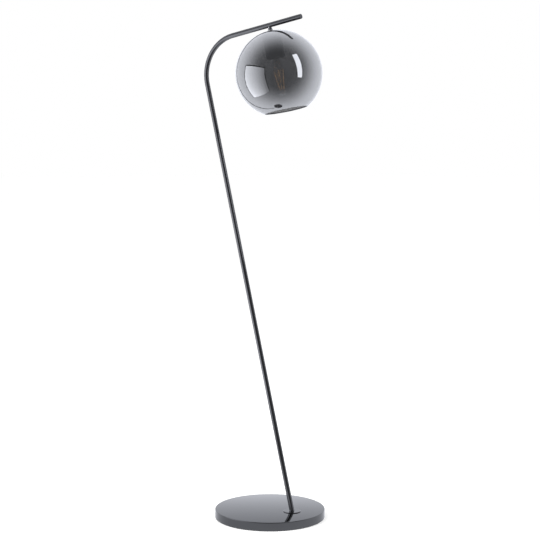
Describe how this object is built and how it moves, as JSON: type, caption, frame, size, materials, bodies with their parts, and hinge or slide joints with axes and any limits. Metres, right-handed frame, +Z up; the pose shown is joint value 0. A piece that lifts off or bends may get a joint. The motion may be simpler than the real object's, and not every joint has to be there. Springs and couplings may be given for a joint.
{
  "type": "floor lamp",
  "caption": "Leaning floor lamp: round weighted base, slim tube bent square into an arm, and an open smoked-glass globe hung from it with a screw-in filament bulb.",
  "frame": {"origin": "centre of the round base, on the floor", "axes": "+Z up, away from the floor; +X the way the arm reaches; +Y completes the right-handed frame, square to the plane of the pole and arm"},
  "size_m": [0.3871, 0.325, 1.4765],
  "materials": {
    "black_nickel": "polished black nickel plating",
    "cast_iron": "cast, dark primer",
    "foam_pad": "fine closed-cell foam",
    "black_rubber": "moulded",
    "zinc_steel": "bright zinc plate",
    "nickel_steel": "turned, satin nickel",
    "soft_washer": "translucent silicone",
    "smoked_glass": "smoked glass with a metallised mirror film",
    "black_paint": "satin black",
    "holder_plastic": "black phenolic",
    "holder_ceramic": "white steatite",
    "brass": "bright",
    "cap_metal": "thin pressed cap",
    "solder": "tinned",
    "vitrite": "black glass insulator",
    "clear_glass": "clear",
    "filament": "amber phosphor coating",
    "wire": "drawn nickel wire"
  },
  "bodies": {
    "lamp": {"base_pad": "foam_pad", "base_weight": "cast_iron", "base_cover": "black_nickel", "cable_grommet": "black_rubber", "foot_flange": "black_nickel", "foot_stud": "zinc_steel", "foot_washer": "zinc_steel", "foot_lock_washer": "zinc_steel", "foot_nut": "zinc_steel", "lower_pole_tube": "black_nickel", "middle_pole_tube": "black_nickel", "bent_arm_tube": "black_nickel", "lower_joint_socket": "zinc_steel", "lower_joint_stud": "zinc_steel", "upper_joint_socket": "zinc_steel", "upper_joint_stud": "zinc_steel", "arm_end_cap": "black_nickel", "arm_insert": "zinc_steel", "hanger_nipple": "zinc_steel", "stem_collar": "nickel_steel", "glass_gasket": "soft_washer", "cup_gasket": "soft_washer", "globe_glass": "smoked_glass", "holder_cup": "black_paint", "cup_toothed_washer": "zinc_steel", "cup_nut": "zinc_steel", "holder_cap": "holder_plastic", "holder_skirt": "holder_plastic", "holder_core": "holder_ceramic", "thread_shell": "brass", "centre_contact": "brass", "side_contacts": "brass", "terminal_screws": "zinc_steel"},
    "bulb_travel": {"bulb_tip_contact": "solder"},
    "bulb": {"bulb_glass": "clear_glass", "bulb_screw_cap": "cap_metal", "bulb_insulator": "vitrite", "bulb_stem": "clear_glass", "bulb_filaments": "filament", "bulb_wires": "wire"}
  },
  "joints": [
    {"name": "bulb_unscrew_travel", "type": "slide", "parent": "lamp", "child": "bulb_travel", "axis": [0.2267, 0, -0.974], "range_m": [0, 0.01815]},
    {"name": "bulb_turn", "type": "hinge", "parent": "bulb_travel", "child": "bulb", "pos_m": [0.01327, 0, 1.38095], "axis": [0.2267, 0, -0.974], "range_deg": [0, 1800]}
  ],
  "couplings": [
    {"joint": "bulb_turn", "follows": "bulb_unscrew_travel", "rad_per_m": 1731.4}
  ]
}
